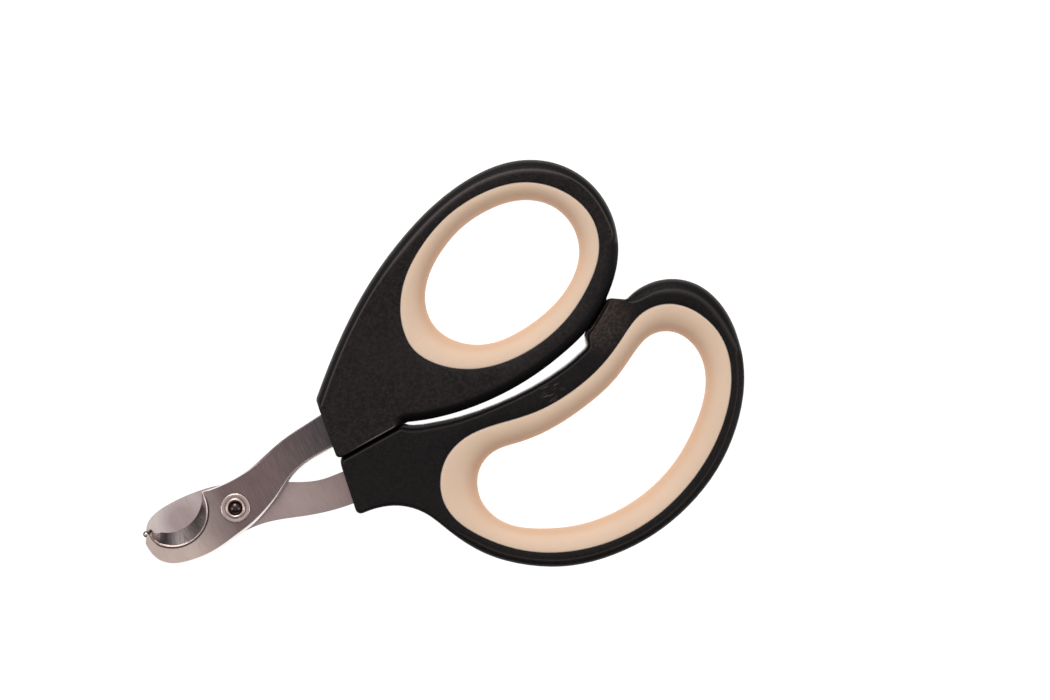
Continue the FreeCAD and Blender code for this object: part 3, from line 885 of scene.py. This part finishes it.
def blade(name, side):
    """A blade with softly rounded outer edges and a crescent ground at a slant.

    side is +1 in front and -1 behind. Each point of the outline has a weight for each part of the blade: the
    notch, its heel next to the arm, the horn, and the slim stretch that leads to the horn.
    """
    thick = abs(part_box(name)[1 if side > 0 else 0].z / MM - MID)
    low, high = 0.06, thick - 0.5  # heights of the two sections that give the slant of the notch
    near_face, *holes = section(name, side * high)
    hole = min(holes, key=lambda p: np.hypot(*(p.mean(axis=0) - AXIS)))
    upper = resample(near_face, BLADE_COUNT, near_face[np.argmax(near_face[:, 0])])
    lower = matched(upper, section(name, side * low)[0])
    notch = smooth(ease(np.hypot(*(upper - lower).T), 0.12, 0.5), 2)
    horn = slim = np.zeros(BLADE_COUNT)
    if side > 0:
        upper, lower = smooth(round_horn(upper, 0.0), 2), smooth(round_horn(lower, HORN_ROOT), 2)
        from_tip = np.hypot(*(upper - AXIS - HORN_BALL).T)
        horn = smooth(1 - ease(from_tip, 0.8, 1.8), 4)
        slim = smooth(1 - ease(from_tip, 1.4, 3.4), 4)
    x, y = (upper - AXIS).T
    heel = 1 - ease(np.hypot(x - NOTCH_HEEL[0], y * side - NOTCH_HEEL[1]), 0.3, 1.4)
    facing = inward(upper)[:, 1] * side
    edge_r, turn_to = blade_arcs(x, facing, notch, heel, horn, slim)
    crisp = 1 - ease(np.degrees(turn_to), 44, 70)
    shadow = notch * ease(-facing, -0.2, 0.5) * (1 - heel)
    lip_gleam = 0.25 + 0.75 * ease(x, -15.5, -12.0)
    gleam = smooth(lip_gleam * notch + (0.15 + 0.75 * crisp) * (1 - notch), 3) * (1 - horn)

    bm = new_mesh()
    rings = []

    def ring(points, heights, shine, gloom=0.0, dot=0.0):
        """Adds a ring; dot is how much of the painted shade on the horn's side has given way to the painted
        highlight on its top.
        """
        rings.append(add_ring(bm, points, side * np.asarray(heights)))
        dark = np.maximum(gloom * shadow, 0.85 * horn * (1 - dot))
        worn = np.maximum(shine * gleam, dot * horn)
        paint(bm, rings[-1], ground=notch * (1 - shine), worn=worn, dark=dark)

    # the wall, which in the notch leads to a lip whose inner end is the CAD's own face outline
    slant = (upper - lower) / (high - low)
    wall_top = thick - edge_r * np.sin(turn_to)
    wall_line = lower + slant * (wall_top - low)[:, None]
    lip_line = inset(lower + slant * (thick - low), edge_r * (np.cos(turn_to) - 1), 4)
    in_notch = (notch * (1 - horn) * (1 - heel))[:, None]
    points = wall_line * (1 - in_notch) + lip_line * in_notch
    for share in np.linspace(0, 1, 6):
        ring(lower + (points - lower) * share, BLADE_CLEAR + (wall_top - BLADE_CLEAR) * share, 0.0)

    # the outer edge, which is rounded by insets, or at the horn by shrinking towards the middle of its end
    tip = AXIS + HORN_BALL
    from_tip = points - tip
    at_horn = horn[:, None]
    before = np.zeros(BLADE_COUNT)
    for share in np.linspace(0, 1, 9)[1:]:
        turn = turn_to * share
        gone = 1 - np.cos(turn)
        domed = tip + from_tip * (1 - gone * edge_r / HORN_BALL_R)[:, None]
        points = inset(points, edge_r * (gone - before), 4) * (1 - at_horn) + domed * at_horn
        before = gone
        soft_shine = ease(turn, 0.15, 0.5) * (1 - ease(turn, 0.95, 1.25))
        shine = soft_shine * (1 - crisp) + min(3 * share, 1) * crisp
        gloom = ease(turn, 1.0, 1.3) * (1 - horn)
        height = thick - edge_r * (np.sin(turn_to) - np.sin(turn))
        ring(points, height, shine, gloom, dot=ease(turn, 1.1, 1.35))

    # a painted shadow line beside the notch's lip, then the faces
    for distance, gloom in ((0.06, 1.0), (0.32, 0.95), (0.50, 0.0)):
        beside = distance * (1 - 0.6 * heel) * (1 - np.maximum(0.97 * horn, 0.6 * slim))
        ring(inset(points, beside, 3), thick, 0.0, gloom, dot=1.0)
        paint(bm, rings[-1], ground=0.0)
    bridge(bm, rings)
    bore = resample(hole, 96, hole[0])
    back, front = [add_ring(bm, bore, side * height) for height in (BLADE_CLEAR, thick)]
    bridge(bm, [back, front])
    fill_face(bm, rings[-1], front, BLADE_SPACING)
    fill_face(bm, rings[0], back, BLADE_SPACING)
    if side > 0:
        turned(bm, AXIS + TIP_BALL, ball_profile(thick), 40)
    return bm


# ---------------------------------------------------------------- the pieces

NOWHERE = at(150, 0)  # a spot off the tool, for no patch
PLASTIC = {  # deep and grain colour, lighter for the upper handle and darker for the lower as painted light and shade on one plastic, middle of the painted highlight patch and of the scuffs
    "upper": (rgb(8, 5, 5), rgb(40, 31, 32), NOWHERE, NOWHERE),
    "lower": (rgb(3, 2, 2), rgb(23, 16, 16), at(85.0, -0.6, HANDLE_TOP), at(69.5, -9.2, HANDLE_TOP)),
}
HANDLES = {  # the other handle, clear side, start of the outline, edge shapes, push, crest's softness, painted highlight on the crest
    "upper": ("lower", -1, (25.2, 12.0), upper_edges, no_push, upper_crest, 0.8),
    "lower": ("upper", 1, (23.7, -1.3), lower_edges, stop_foot, lower_crest, 0.4),
}
for end, (other, clear_side, start, *rim_shape) in HANDLES.items():
    body = f"{end}_lever"
    black = plastic(f"{end}_black_plastic", *PLASTIC[end])
    shell = handle(f"{end}_handle", f"{other}_handle", clear_side, AXIS + start, *rim_shape)
    finish_mesh(f"{end}_handle_shell", shell, body, black, f"{end}_handle")
    soft = grip(f"{end}_grip_insert")
    beige = soft_rubber(f"{end}_beige_rubber")
    finish_mesh(f"{end}_soft_grip", soft, body, beige, f"{end}_grip_insert")

rivet, washer = lathe(rivet_profile()), lathe(washer_profile())
rivet_metal = turned_steel("rivet_metal", rgb(206, 184, 180))
finish_mesh("rolled_rivet", rivet, "lower_lever", rivet_metal, "pivot_rivet")
washer_metal = turned_steel("washer_metal", rgb(196, 172, 168))
finish_mesh("flat_washer", washer, "lower_lever", washer_metal, "rivet_washer")

BLADE_COLOURS = {  # steel colour with a painted reflection, darker on the arms and paler at the heads: of the arm, the neck and the head
    "front": (rgb(78, 75, 78), rgb(140, 119, 119), rgb(244, 222, 213)),
    "rear": (rgb(170, 148, 145), rgb(204, 182, 180), rgb(206, 186, 186)),
}
BLADES = {  # body, side, slant of the brushing, middle of the notch, how strong the painted highlight on the head's rim is
    "front": ("upper_lever", 1, math.radians(8), at(-11.95, 7.0), 0.0),
    "rear": ("lower_lever", -1, math.radians(-12), at(-11.5, -6.3), 1.0),
}
for end, (body, side, *brushing) in BLADES.items():
    metal = brushed_steel(f"{end}_blade_metal", *BLADE_COLOURS[end], *brushing)
    steel = blade(f"{end}_blade", side)
    finish_mesh(f"{end}_ground_blade", steel, body, metal, f"{end}_blade")


# ---------------------------------------------------------------- floor, light and camera

ROLL = math.radians(28)  # the tool's long axis rises this much to the right in the view
VIEW_WIDTH = 218.75 * MM
VIEW_CENTRE = Vector((68.4, 0.75, 0)) * MM + Vector(PIVOT * MM)
LENS, SENSOR = 110.0, 36.0
SKY_LEVELS = ((0.0, 0.03), (0.35, 0.10), (0.65, 0.7), (0.85, 1.0), (1.0, 0.9))  # height, brightness
SKY_STRENGTH, SKY_LEAN = 0.62, 0.7
SKY_TINT = (1, 0.985, 0.965)


def floor():
    """A plain white board under the tool."""
    bm = bmesh.new()
    bmesh.ops.create_grid(bm, x_segments=24, y_segments=24, size=1.5)
    mesh = bpy.data.meshes.new("floor")
    bm.to_mesh(mesh)
    bm.free()
    board = bpy.data.objects.new("floor", mesh)
    board.location.z = -0.1 * MM
    bpy.context.scene.collection.objects.link(board)
    mesh.materials.append(white_ground("floor_white"))


def up_in_view(right, up, high):
    """A place given by the view's right and up directions."""
    return (
        right * math.cos(ROLL) + up * math.sin(ROLL),
        -right * math.sin(ROLL) + up * math.cos(ROLL),
        high,
    )


def soft_light(name, place, size, power):
    """A square soft box that faces the tool's middle."""
    lamp = bpy.data.lights.new(name, "AREA")
    lamp.size = size
    lamp.energy = power
    box = bpy.data.objects.new(name, lamp)
    box.location = place
    box.rotation_euler = (-Vector(place)).to_track_quat("-Z", "Y").to_euler()
    bpy.context.scene.collection.objects.link(box)


def camera():
    """The photo's view, from straight above."""
    lens = bpy.data.cameras.new("camera")
    lens.lens = LENS
    lens.sensor_width = SENSOR
    lens.clip_start = 0.01
    view = bpy.data.objects.new("camera", lens)
    view.location = VIEW_CENTRE + Vector((0, 0, VIEW_WIDTH * LENS / SENSOR))
    view.rotation_euler = (0, 0, -ROLL)
    bpy.context.scene.collection.objects.link(view)
    bpy.context.scene.camera = view


def world():
    """Pale surroundings, brightest part of the way up and towards the top of the view."""
    sky = bpy.data.worlds.new("surroundings")
    sky.use_nodes = True
    tree = sky.node_tree
    back = tree.nodes["Background"]
    place = tree.nodes.new("ShaderNodeTexCoord")
    parts = tree.nodes.new("ShaderNodeSeparateXYZ")
    ramp = tree.nodes.new("ShaderNodeValToRGB")
    side = tree.nodes.new("ShaderNodeVectorMath")
    side.operation = "DOT_PRODUCT"
    side.inputs[1].default_value = up_in_view(0, 1, 0)
    share = tree.nodes.new("ShaderNodeMapRange")
    share.inputs["From Min"].default_value = -0.7
    share.inputs["From Max"].default_value = 0.7
    share.inputs["To Min"].default_value = SKY_STRENGTH * (1 - SKY_LEAN)
    share.inputs["To Max"].default_value = SKY_STRENGTH * (1 + SKY_LEAN)
    tree.links.new(place.outputs["Generated"], parts.inputs[0])
    tree.links.new(place.outputs["Generated"], side.inputs[0])
    tree.links.new(side.outputs["Value"], share.inputs["Value"])
    tree.links.new(share.outputs[0], back.inputs["Strength"])
    tree.links.new(parts.outputs["Z"], ramp.inputs[0])
    tree.links.new(ramp.outputs[0], back.inputs["Color"])
    stops = ramp.color_ramp.elements
    while len(stops) < len(SKY_LEVELS):
        stops.new(0.5)
    for stop, (height, level) in zip(stops, SKY_LEVELS):
        stop.position = height
        stop.color = (*[level * tint for tint in SKY_TINT], 1)
    bpy.context.scene.world = sky


floor()
world()
soft_light("key", up_in_view(-0.25, 0.9, 0.8), 0.6, 7)
soft_light("fill_left", up_in_view(-0.9, -0.2, 0.7), 0.5, 2)
soft_light("fill_right", up_in_view(0.9, -0.2, 0.7), 0.5, 2)
camera()
bpy.context.scene.view_settings.view_transform = "Standard"
